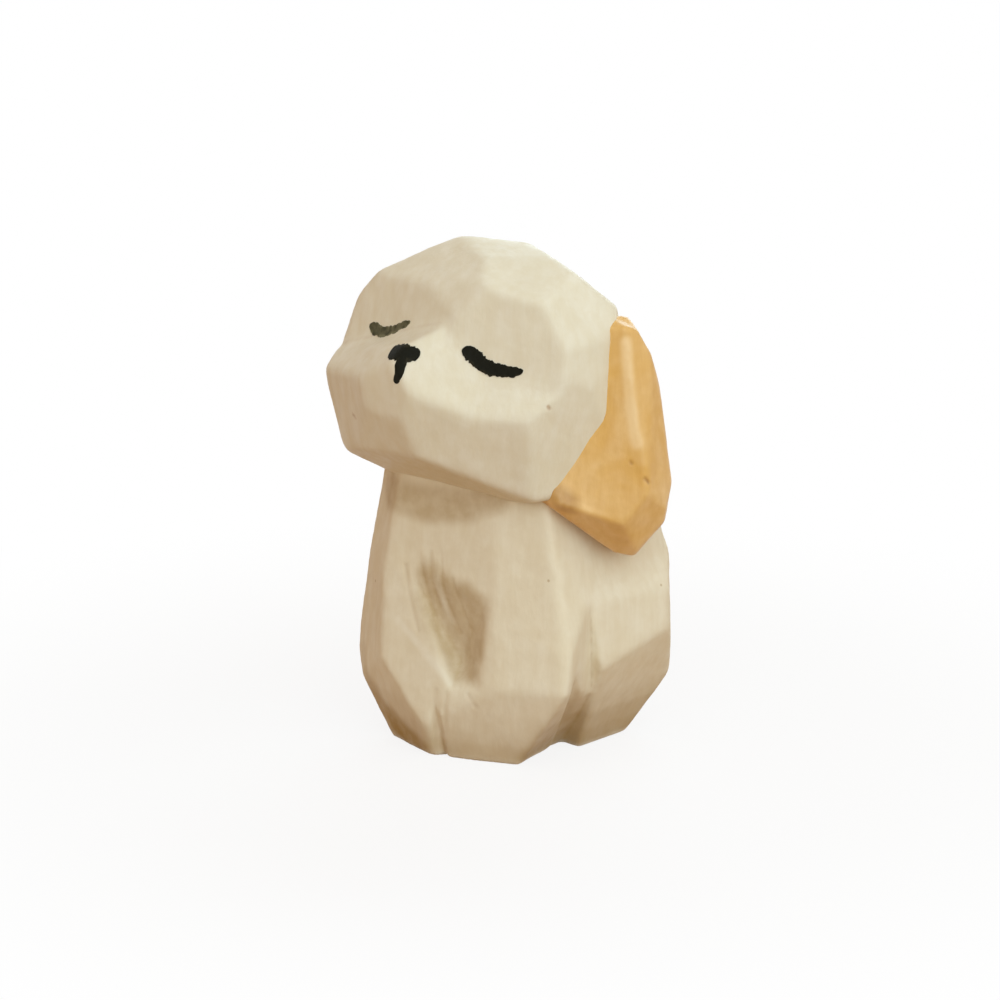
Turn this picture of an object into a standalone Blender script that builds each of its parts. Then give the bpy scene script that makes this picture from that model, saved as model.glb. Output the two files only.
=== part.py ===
"""A small sitting dog carved in wood with flat knife cuts, with ochre ears and a painted face.

The dog faces -Y and stands on z = 0. Sizes are in millimetres and angles in degrees.
A knife cut is (turn, tilt, depth): turn goes from the front towards the dog's left side,
tilt goes up from level, and depth is measured from the centre of the block being cut.
"""
import math

import bmesh
import bpy
from mathutils import Matrix, Vector

MM = 0.001
COLLECTION_NAME = "carved_dog"

# Clearances
SEAT_GAP = 0.3
PAINT_LIFT = 0.3
PAINT_FILM = 0.35

# Head: the centre of its block and the block's half sizes
HEAD_FORWARD = 5.5
HEAD_HEIGHT = 45.5
HEAD_HALF_WIDTH = 17.0
HEAD_HALF_LENGTH = 20.0
HEAD_HALF_HEIGHT = 15.6

# Head: the cuts that give its outer form
HEAD_CUTS = {
    "crown": (45, 78, 14.9),
    "forehead_right": (-30, 64, 14.7),
    "forehead_front": (-10, 51, 13.0),
    "temple_upper": (42, 58, 14.9),
    "temple_side": (73, 28, 16.8),
    "cheek_side": (76, 4, 16.6),
    "muzzle_tip": (-3, -3, 14.1),
    "muzzle_right": (-24, -8, 15.1),
    "chin_front": (-4, -22, 14.2),
    "jowl_left": (27, -16, 12.9),
    "chin_under": (1, -57, 13.4),
    "cheek_left": (68, -14, 15.4),
    "cheek_right_top": (-80, 64, 15.2),
    "cheek_right_upper": (-61, 40, 16.7),
    "cheek_right_front": (-52, 12, 18.2),
    "jowl_right": (-50, -9, 18.6),
    "jowl_right_under": (-28, -52, 18.1),
    "side_right_upper": (-90, 20, 16.6),
    "side_right_lower": (-90, -20, 16.8),
    "nape_top": (-165, 74, 14.8),
    "nape_left": (150, 50, 14.5),
    "nape_right": (-120, 40, 15.6),
    "back": (180, 0, 14.4),
    "back_left": (130, 0, 15.3),
    "back_right": (-130, 0, 15.8),
    "back_left_under": (130, -38, 15.8),
    "back_under": (180, -38, 14.6),
    "back_right_under": (-130, -38, 15.8),
    "cheek_left_under": (80, -76, 15.5),
    "cheek_right_under": (-90, -50, 16.6),
}

# Face: the brow block and the muzzle that stands out under it leave the eye sockets between them
FACE_MARGIN = 3.0
BROW_CUTS = {
    "eye_plane_right": (-10, 10, 9.2),
    "eye_plane_left": (23, 6, 10.1),
    "brow": (0, 26, 11.2),
}
MUZZLE_CUTS = {
    "socket_floor": (-45, 65, 8.2),
    "muzzle_top_right": (-30, 42, 11.6),
}
MUZZLE_LEFT_OUTER = (42, 26, 10.3)
MUZZLE_LEFT_INNER = (27, 28, 9.8)

# Ears: the centre of the left ear's block from the head's centre, and its half sizes
EAR_OUT = 18.6
EAR_BACK = 2.5
EAR_DROP = 6.0
EAR_HALF_THICKNESS = 9.0
EAR_HALF_WIDTH = 12.0
EAR_HALF_LENGTH = 16.0
EAR_CUTS = {
    "front_face": (38, 5, 0.7),
    "ridge": (66, 8.5, 1.6),
    "rear_face": (97, 5, 2.8),
    "underside": (22, -39, 6.9),
    "front_edge": (-15, 0, 6.4),
    "tip_face": (76, -21, 4.7),
    "back_lower": (119, -40, 9.8),
    "back_edge": (129, -10, 6.6),
    "back_middle": (134, 8, 5.2),
    "back_upper": (136, 15, 5.9),
    "back_top": (141, 30, 8.0),
    "top": (100, 58, 11.2),
    "inner_face": (-90, 18, 6.2),
    "inner_lower": (-50, -50, 11.0),
    "tip": (-38, -82, 13.6),
    "top_front": (30, 52, 9.9),
    "top_inner": (-90, 45, 11.0),
}
EAR_RIGHT_FRONT_EDGE = (15, 0, -2.2)

# Body: the centre of its block and the block's half sizes
BODY_RIGHT = 1.3
BODY_BACK = 1.4
BODY_HEIGHT = 16.0
BODY_HALF_WIDTH = 17.5
BODY_REAR = 15.0
CHEST_BELOW = 3.0
NECK_INSET = 11.5
CHEST_CUTS = {
    "chest_right": (-28, 10.5, 16.8),
    "foreleg_right": (-28, 4.5, 16.5),
    "chest": (8, 7, 13.3),
    "foreleg_left": (20, 8, 14.2),
    "ridge": (42, 11, 17.1),
    "flank_left": (84, 15, 16.45),
    "flank_rear": (131, 3, 17.5),
    "shoulder_right": (-75, 9, 18.2),
    "neck_right": (-75, 22, 19.2),
    "elbow_right": (-75, 2, 17.2),
    "paw_right": (-16, -15, 17.4),
    "paw_right_side": (-75, -39, 20.1),
    "paw_left": (21, -15, 16.4),
    "paw_left_side": (103, -36, 14.9),
    "belly_right": (-103, -30, 13.6),
    "flank_right": (-98, 10, 12.6),
    "back": (180, 7, 13.7),
    "back_upper": (180, 34, 16.8),
    "back_lower": (180, -30, 16.0),
}

# Haunches: one lump each side, behind the foreleg; the two overlap at the middle of the back
HAUNCH_OVERLAP = 0.4
HAUNCH_FRONT = 9.5
HAUNCH_REAR = 17.0
HAUNCH_BELOW = 4.0
HAUNCH_TOP = 30.0
HAUNCH_LEFT_CUTS = {
    "thigh": (79, 3, 16.35),
    "thigh_top": (80, 31, 15.85),
    "thigh_under": (89.5, -28, 16.4),
    "rump_side": (130, 1, 18.2),
    "rump_under": (132, -35, 19.8),
    "rump": (157, 5, 15.4),
    "rump_top": (158, 36, 17.0),
    "back": (174, 5, 14.4),
    "heel": (176, -24, 15.8),
    "front_wall": (-10, -9, 1.0),
    "behind_paw": (-47, 12, -6.9),
}
HAUNCH_RIGHT_CUTS = {
    "thigh": (-79, 3, 14.8),
    "thigh_top": (-80, 31, 14.2),
    "thigh_under": (-89.5, -28, 15.0),
    "rump_side": (-130, 1, 16.6),
    "rump_under": (-132, -35, 18.4),
    "rump": (-157, 5, 14.5),
    "rump_top": (-158, 36, 16.2),
    "back": (-173, 5, 14.3),
    "heel": (-175, -24, 15.7),
    "front_wall": (-20, 0, 8.4),
}

# Shallow cut behind the left foreleg, which the haunch stands out of
FLANK_SIDES = {
    "behind_elbow": (110, -4, 12.65),
    "roof": (0, -90, -4.3),
}

# Side notch between the left foreleg and the haunch
NOTCH_SIDES = {
    "behind_foreleg": (133, -12, 7.1),
    "before_haunch": (-57, 14, -11.9),
    "floor": (35, -38, 14.1),
    "roof": (0, -90, 4.0),
}

# Chest hollow between the forelegs: the four walls that a knife and gouge leave
HOLLOW_SIDES = {
    "under_chest": (5.5, -9, 11.8),
    "inside_left_leg": (-22, 7.5, 9.05),
    "inside_right_leg": (77, 26.5, 1.6),
    "above_paws": (-0.5, 44.5, 4.75),
}

# Groove that parts the two forepaws
GROOVE_PLACE = (0.6, -13.9, -8.5)
GROOVE_RIGHT_SIDE = (-66, -5)
GROOVE_LEFT_SIDE = (72, -5)
GROOVE_TOP = 11.0

# Tail: a short stub held against the back, in a slot between the haunches
TAIL_BACK = 14.2
TAIL_HEIGHT = 6.5
TAIL_HALF_WIDTH = 2.4
TAIL_HALF_DEPTH = 4.0
TAIL_HALF_LENGTH = 7.5
TAIL_CUTS = {
    "rear": (180, 14, 2.4),
    "left": (115, 8, 2.9),
    "right": (-115, 8, 2.9),
    "top": (180, 55, 4.9),
    "lower": (180, -40, 4.6),
}

# Painted strokes: axis of the brush, then start, middle and end on the face, and the widths there
EYE_LEFT_AXIS = (23, 6)
EYE_LEFT_PATH = ((1.0, 3.4), (4.1, 1.5), (7.8, 1.4))
EYE_LEFT_WIDTH = 1.5
EYE_RIGHT_AXIS = (-10, 10)
EYE_RIGHT_PATH = ((-9.8, 3.4), (-6.8, 2.7), (-2.7, 4.6))
EYE_RIGHT_WIDTH = 1.2
NOSE_AXIS = (5, 12)
NOSE_PATH = ((-3.2, 1.3), (-1.4, 1.1), (0.3, 1.3))
NOSE_WIDTH = 1.8
MOUTH_AXIS = (5, 0)
MOUTH_PATH = ((-0.9, 2.7), (-1.0, 1.9), (-1.6, 0.5))
MOUTH_WIDTH = 0.9
STROKE_STEPS = 14
STROKE_REACH = 22.0

# Colours, roughness
WOOD_COLOUR = (0.70, 0.60, 0.40)
EAR_COLOUR = (0.72, 0.42, 0.13)
PAINT_COLOUR = (0.012, 0.011, 0.006)
PAINT_OLIVE_COLOUR = (0.07, 0.065, 0.03)
WOOD_ROUGHNESS = 0.55
PAINT_ROUGHNESS = 0.45


def clear_scene():
    for obj in list(bpy.data.objects):
        bpy.data.objects.remove(obj, do_unlink=True)


def make_collection(name):
    collection = bpy.data.collections.new(name)
    bpy.context.scene.collection.children.link(collection)
    return collection


def make_material(name, colour, roughness):
    material = bpy.data.materials.new(name)
    material.use_nodes = True
    shader = material.node_tree.nodes["Principled BSDF"]
    shader.inputs["Base Color"].default_value = (*colour, 1.0)
    shader.inputs["Roughness"].default_value = roughness
    shader.inputs["Metallic"].default_value = 0.0
    return material


def head_centre():
    return Vector((0.0, -HEAD_FORWARD, HEAD_HEIGHT))


def body_centre():
    return Vector((-BODY_RIGHT, BODY_BACK, BODY_HEIGHT))


def direction(turn, tilt):
    """Outward direction of a cut."""
    around, up = math.radians(turn), math.radians(tilt)
    return Vector((math.sin(around) * math.cos(up), -math.cos(around) * math.cos(up), math.sin(up)))


def mirrored(cuts):
    """The same cuts on the dog's other side."""
    return {name: (-turn, tilt, depth) for name, (turn, tilt, depth) in cuts.items()}


def slice_off(bm, point, normal):
    """Cut a closed mesh with a plane, drop what lies outside it and close the cut face."""
    geometry = bm.verts[:] + bm.edges[:] + bm.faces[:]
    cut = bmesh.ops.bisect_plane(
        bm, geom=geometry, dist=1e-7, plane_co=point * MM, plane_no=normal, clear_outer=True)
    rim = [item for item in cut["geom_cut"] if isinstance(item, bmesh.types.BMEdge)]
    if rim:
        bmesh.ops.holes_fill(bm, edges=rim, sides=0)


def make_object(name, bm, collection):
    bmesh.ops.recalc_face_normals(bm, faces=bm.faces[:])
    mesh = bpy.data.meshes.new(name)
    bm.to_mesh(mesh)
    bm.free()
    obj = bpy.data.objects.new(name, mesh)
    collection.objects.link(obj)
    return obj


def box_mesh(low, high):
    """A box between two corners, as a mesh to be cut."""
    bm = bmesh.new()
    centre = (low + high) * 0.5 * MM
    size = (high - low) * MM
    bmesh.ops.create_cube(bm, size=1.0, matrix=Matrix.Translation(centre) @ Matrix.Diagonal((*size, 1.0)))
    return bm


def carve(name, low, high, centre, cuts, collection, grow=0.0):
    """A box cut down by knife cuts about a centre, or its copy grown outwards on every side."""
    margin = Vector((grow, grow, grow))
    bm = box_mesh(low - margin, high + margin)
    for turn, tilt, depth in cuts.values():
        normal = direction(turn, tilt)
        slice_off(bm, centre + normal * (depth + grow), normal)
    return make_object(name, bm, collection)


def wedge(name, centre, sides, collection, reach=60.0):
    """A cutter that fills the space beyond every one of its sides."""
    corner = Vector((reach, reach, reach))
    bm = box_mesh(centre - corner, centre + corner)
    for turn, tilt, depth in sides.values():
        normal = direction(turn, tilt)
        slice_off(bm, centre + normal * depth, -normal)
    return make_object(name, bm, collection)


def combine(target, tool, operation, keep_tool=False):
    """Join, cut or intersect the target with the tool, and settle the result as a plain mesh."""
    modifier = target.modifiers.new(operation.lower(), "BOOLEAN")
    modifier.operation = operation
    modifier.solver = "EXACT"
    modifier.object = tool
    bpy.context.view_layer.update()
    graph = bpy.context.evaluated_depsgraph_get()
    mesh = bpy.data.meshes.new_from_object(target.evaluated_get(graph))
    target.modifiers.clear()
    target.data = mesh
    mesh.name = target.name
    if not keep_tool:
        bpy.data.objects.remove(tool, do_unlink=True)


def cut_object(obj, point, normal):
    """One more knife cut through a finished piece."""
    bm = bmesh.new()
    bm.from_mesh(obj.data)
    slice_off(bm, point, normal)
    bmesh.ops.recalc_face_normals(bm, faces=bm.faces[:])
    bm.to_mesh(obj.data)
    bm.free()


def clean_mesh(obj):
    """Weld the crumbs that Booleans leave and split faces into triangles."""
    bm = bmesh.new()
    bm.from_mesh(obj.data)
    bmesh.ops.remove_doubles(bm, verts=bm.verts[:], dist=0.00001)
    bmesh.ops.dissolve_degenerate(bm, edges=bm.edges[:], dist=0.00001)
    bmesh.ops.triangulate(bm, faces=bm.faces[:])
    bmesh.ops.recalc_face_normals(bm, faces=bm.faces[:])
    bm.to_mesh(obj.data)
    bm.free()


def head_block(name, collection, grow=0.0):
    """The head's outer form, which the neck and the ears are cut to."""
    half = Vector((HEAD_HALF_WIDTH, HEAD_HALF_LENGTH, HEAD_HALF_HEIGHT))
    centre = head_centre()
    return carve(name, centre - half, centre + half, centre, HEAD_CUTS, collection, grow)


def carved_head(name, collection, grow=0.0):
    """The head with its brow set back above the muzzle, which leaves the two eye sockets."""
    centre = head_centre()
    half = Vector((HEAD_HALF_WIDTH, HEAD_HALF_LENGTH, HEAD_HALF_HEIGHT))
    margin = Vector((FACE_MARGIN, FACE_MARGIN, FACE_MARGIN))
    wide = half + margin
    wider = wide + margin
    widest = wider + margin
    brow = carve(name, centre - wide, centre + wide, centre, BROW_CUTS, collection, grow)
    outer = dict(MUZZLE_CUTS, left=MUZZLE_LEFT_OUTER)
    inner = {"left": MUZZLE_LEFT_INNER}
    muzzle = carve("muzzle", centre - wider, centre + wider, centre, {"left": MUZZLE_LEFT_OUTER}, collection, grow)
    second = carve("muzzle_inner", centre - widest, centre + widest, centre, inner, collection, grow)
    combine(muzzle, second, "UNION")
    for cut in MUZZLE_CUTS.values():
        normal = direction(cut[0], cut[1])
        cut_object(muzzle, centre + normal * (cut[2] + grow), normal)
    combine(brow, muzzle, "UNION")
    combine(brow, head_block("outer_form", collection, grow), "INTERSECT")
    return brow


def ear_centre(side):
    head = head_centre()
    return Vector((side * EAR_OUT, head.y + EAR_BACK, head.z - EAR_DROP))


def make_ear(name, side, cuts, haunch_cuts, material, collection):
    """One hanging ear, cut so that it follows the head and rests on the shoulder."""
    half = Vector((EAR_HALF_THICKNESS, EAR_HALF_WIDTH, EAR_HALF_LENGTH))
    centre = ear_centre(side)
    ear = carve(name, centre - half, centre + half, centre, cuts, collection)
    combine(ear, head_block("ear_seat", collection, SEAT_GAP), "DIFFERENCE")
    combine(ear, make_chest("shoulder_seat", collection, SEAT_GAP), "DIFFERENCE")
    combine(ear, make_haunch("rump_seat", side, haunch_cuts, collection, SEAT_GAP), "DIFFERENCE")
    ear.data.materials.append(material)
    return ear


def reach(cuts):
    """How far a block stands out from its centre, so that every cut of its own still bites."""
    return max(depth for turn, tilt, depth in cuts.values())


def body_box(left, front, right, rear, below, top):
    """Corners of a block about the body's centre line, from below the table to a height."""
    centre = body_centre()
    low = Vector((centre.x - right, centre.y - front, -below))
    high = Vector((centre.x + left, centre.y + rear, top))
    return low, high


def make_chest(name, collection, grow=0.0):
    front, top = reach(CHEST_CUTS), HEAD_HEIGHT - NECK_INSET
    low, high = body_box(BODY_HALF_WIDTH, front, BODY_HALF_WIDTH, BODY_REAR, CHEST_BELOW, top)
    return carve(name, low, high, body_centre(), CHEST_CUTS, collection, grow)


def make_haunch(name, side, cuts, collection, grow=0.0):
    inner, outer = HAUNCH_OVERLAP, reach(cuts)
    left, right = (outer, inner) if side > 0 else (inner, outer)
    low, high = body_box(left, HAUNCH_FRONT, right, HAUNCH_REAR, HAUNCH_BELOW, HAUNCH_TOP)
    return carve(name, low, high, body_centre(), cuts, collection, grow)


def tail_block(name, collection, grow=0.0):
    centre = Vector((-BODY_RIGHT, BODY_BACK + TAIL_BACK, TAIL_HEIGHT))
    half = Vector((TAIL_HALF_WIDTH, TAIL_HALF_DEPTH, TAIL_HALF_LENGTH))
    return carve(name, centre - half, centre + half, centre, TAIL_CUTS, collection, grow)


def make_groove(name, collection):
    """The V between the forepaws, from the table to the foot of the chest hollow."""
    apex = body_centre() + Vector(GROOVE_PLACE)
    sides = {"right": (*GROOVE_RIGHT_SIDE, 0.0), "left": (*GROOVE_LEFT_SIDE, 0.0)}
    groove = wedge(name, apex, sides, collection, reach=30.0)
    cut_object(groove, Vector((0.0, 0.0, GROOVE_TOP)), Vector((0.0, 0.0, 1.0)))
    return groove


def make_torso(name, material, collection):
    """Chest and forelegs in one, the two haunches, and what the knife and gouge take out."""
    centre = body_centre()
    torso = make_chest(name, collection)
    combine(torso, wedge("flank_cut", centre, FLANK_SIDES, collection), "DIFFERENCE")
    combine(torso, make_haunch("haunch_left", 1, HAUNCH_LEFT_CUTS, collection), "UNION")
    combine(torso, make_haunch("haunch_right", -1, HAUNCH_RIGHT_CUTS, collection), "UNION")
    combine(torso, wedge("side_notch", centre, NOTCH_SIDES, collection), "DIFFERENCE")
    combine(torso, wedge("chest_hollow", centre, HOLLOW_SIDES, collection), "DIFFERENCE")
    combine(torso, make_groove("paw_groove", collection), "DIFFERENCE")
    combine(torso, tail_block("tail_slot", collection, SEAT_GAP), "DIFFERENCE")
    combine(torso, head_block("neck_seat", collection, SEAT_GAP), "DIFFERENCE")
    cut_object(torso, Vector((0.0, 0.0, 0.0)), Vector((0.0, 0.0, -1.0)))
    torso.data.materials.append(material)
    return torso


def make_tail(name, material, collection):
    tail = tail_block(name, collection)
    cut_object(tail, Vector((0.0, 0.0, 0.0)), Vector((0.0, 0.0, -1.0)))
    tail.data.materials.append(material)
    return tail


def stroke_outline(path, width):
    """Closed outline of a brush stroke: a curve through three points with round ends."""
    start, middle, end = (Vector(point) for point in path)
    control = middle * 2.0 - (start + end) * 0.5
    upper, lower = [], []
    for step in range(STROKE_STEPS + 1):
        along = 0.5 - 0.5 * math.cos(math.pi * step / STROKE_STEPS)
        point = start * (1 - along) ** 2 + control * 2 * along * (1 - along) + end * along ** 2
        heading = ((control - start) * (1 - along) + (end - control) * along).normalized()
        swell = (1.0 - abs(2.0 * along - 1.0) ** 5) ** 0.5
        across = Vector((-heading.y, heading.x)) * (0.5 * width * max(swell, 0.12))
        upper.append(point + across)
        lower.append(point - across)
    return upper + lower[::-1]


def stroke_prism(name, axis, outline, collection):
    """The outline drawn out along the brush's axis, as a solid that passes through the face."""
    curve = bpy.data.curves.new(name, "CURVE")
    curve.dimensions = "2D"
    curve.fill_mode = "BOTH"
    curve.extrude = 0.5 * STROKE_REACH * MM
    spline = curve.splines.new("POLY")
    spline.points.add(len(outline) - 1)
    for point, place in zip(spline.points, outline):
        point.co = (place.x * MM, place.y * MM, 0.0, 1.0)
    spline.use_cyclic_u = True
    guide = bpy.data.objects.new(name + "_outline", curve)
    collection.objects.link(guide)
    turn = math.radians(axis[0])
    outward = direction(*axis)
    right = Vector((math.cos(turn), math.sin(turn), 0.0))
    frame = Matrix((right, outward.cross(right), outward)).transposed().to_4x4()
    middle = (head_centre() + outward * 0.6 * STROKE_REACH) * MM
    bpy.context.view_layer.update()
    graph = bpy.context.evaluated_depsgraph_get()
    mesh = bpy.data.meshes.new_from_object(guide.evaluated_get(graph))
    bpy.data.objects.remove(guide, do_unlink=True)
    bm = bmesh.new()
    bm.from_mesh(mesh)
    bmesh.ops.remove_doubles(bm, verts=bm.verts[:], dist=0.000001)
    bmesh.ops.transform(bm, matrix=Matrix.Translation(middle) @ frame, verts=bm.verts[:])
    return make_object(name, bm, collection)


def make_stroke(name, axis, path, width, material, collection):
    """A painted stroke: a thin film that follows the facets it was brushed over."""
    stroke = stroke_prism(name, axis, stroke_outline(path, width), collection)
    combine(stroke, carved_head("film_outside", collection, PAINT_LIFT + PAINT_FILM), "INTERSECT")
    combine(stroke, carved_head("film_inside", collection, PAINT_LIFT), "DIFFERENCE")
    stroke.data.materials.append(material)
    return stroke


def stand_on_centre(parts):
    """Move the whole dog so that its bounding box is centred over the origin and rests on z = 0."""
    points = [vertex.co for part in parts for vertex in part.data.vertices]
    low = Vector([min(point[axis] for point in points) for axis in range(3)])
    high = Vector([max(point[axis] for point in points) for axis in range(3)])
    shift = Matrix.Translation((-(low.x + high.x) / 2, -(low.y + high.y) / 2, -low.z))
    for part in parts:
        part.data.transform(shift)


def main():
    clear_scene()
    collection = make_collection(COLLECTION_NAME)
    wood = make_material("cream_painted_wood", WOOD_COLOUR, WOOD_ROUGHNESS)
    ochre = make_material("ochre_painted_wood", EAR_COLOUR, WOOD_ROUGHNESS)
    black = make_material("black_paint", PAINT_COLOUR, PAINT_ROUGHNESS)
    olive = make_material("thin_olive_paint", PAINT_OLIVE_COLOUR, PAINT_ROUGHNESS)

    head = carved_head("head", collection)
    head.data.materials.append(wood)
    ear_right_cuts = dict(mirrored(EAR_CUTS), front_edge=EAR_RIGHT_FRONT_EDGE)
    parts = [
        make_torso("torso", wood, collection),
        head,
        make_ear("ear_left", 1, EAR_CUTS, HAUNCH_LEFT_CUTS, ochre, collection),
        make_ear("ear_right", -1, ear_right_cuts, HAUNCH_RIGHT_CUTS, ochre, collection),
        make_tail("tail", wood, collection),
        make_stroke("eye_left", EYE_LEFT_AXIS, EYE_LEFT_PATH, EYE_LEFT_WIDTH, black, collection),
        make_stroke("eye_right", EYE_RIGHT_AXIS, EYE_RIGHT_PATH, EYE_RIGHT_WIDTH, olive, collection),
        make_stroke("nose", NOSE_AXIS, NOSE_PATH, NOSE_WIDTH, black, collection),
        make_stroke("mouth", MOUTH_AXIS, MOUTH_PATH, MOUTH_WIDTH, black, collection),
    ]
    for part in parts:
        clean_mesh(part)
    stand_on_centre(parts)


main()
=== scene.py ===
"""A small sitting dog carved in wood and painted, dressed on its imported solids.

The dog faces -Y, its left side is +X and it stands on z = 0. Sizes are in millimetres unless a
name or docstring says otherwise, and angles are in degrees: turn goes from the front towards the
left side, tilt goes up from level.
"""

import logging
import math
from collections.abc import Mapping, Sequence
from dataclasses import dataclass
from enum import Enum
from typing import Any

import bmesh
import bpy
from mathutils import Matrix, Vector
from mathutils.bvhtree import BVHTree


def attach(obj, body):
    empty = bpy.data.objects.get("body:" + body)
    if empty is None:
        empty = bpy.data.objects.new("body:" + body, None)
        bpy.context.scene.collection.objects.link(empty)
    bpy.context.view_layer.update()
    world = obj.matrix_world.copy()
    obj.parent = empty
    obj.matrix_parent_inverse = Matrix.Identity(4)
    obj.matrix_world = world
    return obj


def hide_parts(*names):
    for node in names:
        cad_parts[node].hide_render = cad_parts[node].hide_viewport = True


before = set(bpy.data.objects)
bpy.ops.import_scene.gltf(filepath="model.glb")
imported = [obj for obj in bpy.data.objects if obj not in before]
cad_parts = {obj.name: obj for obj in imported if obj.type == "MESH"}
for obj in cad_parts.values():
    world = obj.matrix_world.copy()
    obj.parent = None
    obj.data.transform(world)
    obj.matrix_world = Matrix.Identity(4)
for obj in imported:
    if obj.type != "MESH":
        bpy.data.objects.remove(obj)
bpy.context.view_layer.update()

MM = 0.001
WELD = 0.002
SEAM_REACH = 1.0
LOG = logging.getLogger("carved_dog")

# Places of the colour sockets of a Mix node, and the spacing of nodes on a sheet.
MIX_FIRST, MIX_SECOND, MIX_RESULT = 6, 7, 2
NODE_COLUMNS, NODE_WIDTH, NODE_HEIGHT = 12, 180, 260

Socket = bpy.types.NodeSocket
Colour = tuple[float, float, float, float]
Point = tuple[float, float, float]
Lines = Sequence[Sequence[Point]]

WHITE: Colour = (1.0, 1.0, 1.0, 1.0)


class Side(Enum):
    """The dog's own sides, by the sign of X."""

    LEFT = 1
    RIGHT = -1


def paint(red: int, green: int, blue: int) -> Colour:
    """Turn a colour as the eye reads it, each channel from 0 to 255, into an opaque linear one."""
    channels = (red, green, blue)
    return (*((c / 255 / 12.92) if c < 11 else ((c / 255 + 0.055) / 1.055) ** 2.4 for c in channels), 1.0)


def direction(turn: float, tilt: float) -> Vector:
    """Give the unit vector that points out at a turn and a tilt."""
    around, up = math.radians(turn), math.radians(tilt)
    return Vector((math.sin(around) * math.cos(up), -math.cos(around) * math.cos(up), math.sin(up)))


def add_object(name: str, data: bpy.types.ID) -> bpy.types.Object:
    """Put a new object into the scene.

    Args:
        name: The object's name.
        data: Its mesh, curve, light or camera.

    Returns:
        The object.
    """
    made = bpy.data.objects.new(name, data)
    bpy.context.scene.collection.objects.link(made)
    return made


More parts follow.
